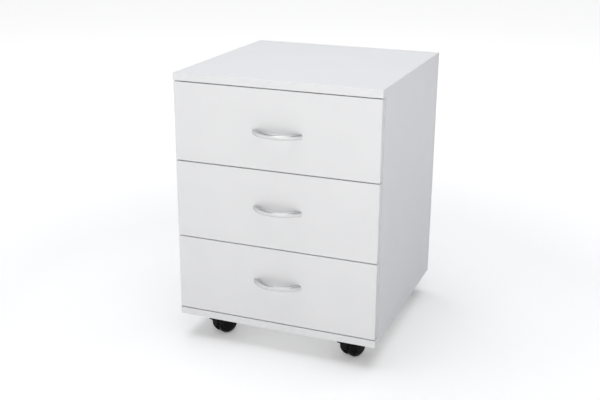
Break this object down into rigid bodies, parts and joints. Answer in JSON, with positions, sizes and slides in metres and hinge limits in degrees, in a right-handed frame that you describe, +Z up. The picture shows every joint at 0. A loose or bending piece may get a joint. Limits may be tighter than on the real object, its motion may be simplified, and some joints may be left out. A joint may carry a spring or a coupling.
{
  "type": "rolling pedestal cabinet",
  "caption": "White rolling pedestal cabinet with sliding drawers, bow handles and twin-wheel castors.",
  "frame": {"origin": "on the floor, at the middle of the footprint, handles included", "axes": "+Z up, drawers open towards -Y, +X to the right as seen from the front"},
  "size_m": [0.45, 0.475, 0.597],
  "materials": {
    "white_melamine": "satin",
    "white_hardboard": "satin",
    "beech": "matte",
    "white_steel": "satin",
    "zinc_steel": "satin",
    "white_nylon": "satin",
    "satin_silver": "satin",
    "black_hood": "gloss",
    "black_wheel": "gloss"
  },
  "bodies": {
    "cabinet": {"top_panel": "white_melamine", "bottom_panel": "white_melamine", "left_side_panel": "white_melamine", "right_side_panel": "white_melamine", "back_panel": "white_hardboard", "wood_dowels": "beech", "cam_housings": "zinc_steel", "cam_bolts": "zinc_steel", "runner_screws": "zinc_steel", "castor_plates": "zinc_steel", "castor_screws": "zinc_steel", "bottom_left_cabinet_runner": "white_steel", "bottom_right_cabinet_runner": "white_steel", "middle_left_cabinet_runner": "white_steel", "middle_right_cabinet_runner": "white_steel", "top_left_cabinet_runner": "white_steel", "top_right_cabinet_runner": "white_steel"},
    "bottom_drawer": {"bottom_drawer_front": "white_melamine", "bottom_drawer_handle": "satin_silver", "bottom_drawer_screws": "zinc_steel", "bottom_drawer_floor": "white_melamine", "bottom_drawer_back": "white_melamine", "bottom_drawer_left_side": "white_steel", "bottom_drawer_right_side": "white_steel"},
    "bottom_cabinet_rollers": {"bottom_cabinet_rollers": "white_nylon"},
    "bottom_drawer_rollers": {"bottom_drawer_rollers": "white_nylon"},
    "middle_drawer": {"middle_drawer_front": "white_melamine", "middle_drawer_handle": "satin_silver", "middle_drawer_screws": "zinc_steel", "middle_drawer_floor": "white_melamine", "middle_drawer_back": "white_melamine", "middle_drawer_left_side": "white_steel", "middle_drawer_right_side": "white_steel"},
    "middle_cabinet_rollers": {"middle_cabinet_rollers": "white_nylon"},
    "middle_drawer_rollers": {"middle_drawer_rollers": "white_nylon"},
    "top_drawer": {"top_drawer_front": "white_melamine", "top_drawer_handle": "satin_silver", "top_drawer_screws": "zinc_steel", "top_drawer_floor": "white_melamine", "top_drawer_back": "white_melamine", "top_drawer_left_side": "white_steel", "top_drawer_right_side": "white_steel"},
    "top_cabinet_rollers": {"top_cabinet_rollers": "white_nylon"},
    "top_drawer_rollers": {"top_drawer_rollers": "white_nylon"},
    "front_left_castor": {"front_left_castor_hood": "black_hood", "front_left_castor_axle": "zinc_steel"},
    "front_left_castor_left_wheel": {"front_left_castor_left_wheel": "black_wheel"},
    "front_left_castor_right_wheel": {"front_left_castor_right_wheel": "black_wheel"},
    "front_right_castor": {"front_right_castor_hood": "black_hood", "front_right_castor_axle": "zinc_steel"},
    "front_right_castor_left_wheel": {"front_right_castor_left_wheel": "black_wheel"},
    "front_right_castor_right_wheel": {"front_right_castor_right_wheel": "black_wheel"},
    "rear_left_castor": {"rear_left_castor_hood": "black_hood", "rear_left_castor_axle": "zinc_steel"},
    "rear_left_castor_left_wheel": {"rear_left_castor_left_wheel": "black_wheel"},
    "rear_left_castor_right_wheel": {"rear_left_castor_right_wheel": "black_wheel"},
    "rear_right_castor": {"rear_right_castor_hood": "black_hood", "rear_right_castor_axle": "zinc_steel"},
    "rear_right_castor_left_wheel": {"rear_right_castor_left_wheel": "black_wheel"},
    "rear_right_castor_right_wheel": {"rear_right_castor_right_wheel": "black_wheel"}
  },
  "joints": [
    {"name": "bottom_drawer_slide", "type": "slide", "parent": "cabinet", "child": "bottom_drawer", "axis": [0, -1, 0], "range_m": [0, 0.3]},
    {"name": "bottom_cabinet_rollers_spin", "type": "hinge", "parent": "cabinet", "child": "bottom_cabinet_rollers", "pos_m": [0, -0.1785, 0.0906], "axis": [1, 0, 0], "continuous": true},
    {"name": "bottom_drawer_rollers_spin", "type": "hinge", "parent": "bottom_drawer", "child": "bottom_drawer_rollers", "pos_m": [0, 0.191, 0.0895], "axis": [1, 0, 0], "continuous": true},
    {"name": "middle_drawer_slide", "type": "slide", "parent": "cabinet", "child": "middle_drawer", "axis": [0, -1, 0], "range_m": [0, 0.3]},
    {"name": "middle_cabinet_rollers_spin", "type": "hinge", "parent": "cabinet", "child": "middle_cabinet_rollers", "pos_m": [0, -0.1785, 0.25993], "axis": [1, 0, 0], "continuous": true},
    {"name": "middle_drawer_rollers_spin", "type": "hinge", "parent": "middle_drawer", "child": "middle_drawer_rollers", "pos_m": [0, 0.191, 0.25883], "axis": [1, 0, 0], "continuous": true},
    {"name": "top_drawer_slide", "type": "slide", "parent": "cabinet", "child": "top_drawer", "axis": [0, -1, 0], "range_m": [0, 0.3]},
    {"name": "top_cabinet_rollers_spin", "type": "hinge", "parent": "cabinet", "child": "top_cabinet_rollers", "pos_m": [0, -0.1785, 0.42927], "axis": [1, 0, 0], "continuous": true},
    {"name": "top_drawer_rollers_spin", "type": "hinge", "parent": "top_drawer", "child": "top_drawer_rollers", "pos_m": [0, 0.191, 0.42817], "axis": [1, 0, 0], "continuous": true},
    {"name": "front_left_castor_swivel", "type": "hinge", "parent": "cabinet", "child": "front_left_castor", "pos_m": [-0.1525, -0.1715, 0], "axis": [0, 0, 1], "continuous": true},
    {"name": "front_left_castor_left_wheel_spin", "type": "hinge", "parent": "front_left_castor", "child": "front_left_castor_left_wheel", "pos_m": [-0.1459, -0.15475, 0.025], "axis": [0.9304, -0.3665, 0], "continuous": true},
    {"name": "front_left_castor_right_wheel_spin", "type": "hinge", "parent": "front_left_castor", "child": "front_left_castor_right_wheel", "pos_m": [-0.1459, -0.15475, 0.025], "axis": [0.9304, -0.3665, 0], "continuous": true},
    {"name": "front_right_castor_swivel", "type": "hinge", "parent": "cabinet", "child": "front_right_castor", "pos_m": [0.1525, -0.1715, 0], "axis": [0, 0, 1], "continuous": true},
    {"name": "front_right_castor_left_wheel_spin", "type": "hinge", "parent": "front_right_castor", "child": "front_right_castor_left_wheel", "pos_m": [0.1591, -0.15475, 0.025], "axis": [0.9304, -0.3665, 0], "continuous": true},
    {"name": "front_right_castor_right_wheel_spin", "type": "hinge", "parent": "front_right_castor", "child": "front_right_castor_right_wheel", "pos_m": [0.1591, -0.15475, 0.025], "axis": [0.9304, -0.3665, 0], "continuous": true},
    {"name": "rear_left_castor_swivel", "type": "hinge", "parent": "cabinet", "child": "rear_left_castor", "pos_m": [-0.1525, 0.1835, 0], "axis": [0, 0, 1], "continuous": true},
    {"name": "rear_left_castor_left_wheel_spin", "type": "hinge", "parent": "rear_left_castor", "child": "rear_left_castor_left_wheel", "pos_m": [-0.1459, 0.20025, 0.025], "axis": [0.9304, -0.3665, 0], "continuous": true},
    {"name": "rear_left_castor_right_wheel_spin", "type": "hinge", "parent": "rear_left_castor", "child": "rear_left_castor_right_wheel", "pos_m": [-0.1459, 0.20025, 0.025], "axis": [0.9304, -0.3665, 0], "continuous": true},
    {"name": "rear_right_castor_swivel", "type": "hinge", "parent": "cabinet", "child": "rear_right_castor", "pos_m": [0.1525, 0.1835, 0], "axis": [0, 0, 1], "continuous": true},
    {"name": "rear_right_castor_left_wheel_spin", "type": "hinge", "parent": "rear_right_castor", "child": "rear_right_castor_left_wheel", "pos_m": [0.1591, 0.20025, 0.025], "axis": [0.9304, -0.3665, 0], "continuous": true},
    {"name": "rear_right_castor_right_wheel_spin", "type": "hinge", "parent": "rear_right_castor", "child": "rear_right_castor_right_wheel", "pos_m": [0.1591, 0.20025, 0.025], "axis": [0.9304, -0.3665, 0], "continuous": true}
  ],
  "couplings": [
    {"joint": "bottom_cabinet_rollers_spin", "follows": "bottom_drawer_slide", "rad_per_m": 100},
    {"joint": "bottom_drawer_rollers_spin", "follows": "bottom_drawer_slide", "rad_per_m": 111.11},
    {"joint": "middle_cabinet_rollers_spin", "follows": "middle_drawer_slide", "rad_per_m": 100},
    {"joint": "middle_drawer_rollers_spin", "follows": "middle_drawer_slide", "rad_per_m": 111.11},
    {"joint": "top_cabinet_rollers_spin", "follows": "top_drawer_slide", "rad_per_m": 100},
    {"joint": "top_drawer_rollers_spin", "follows": "top_drawer_slide", "rad_per_m": 111.11}
  ]
}
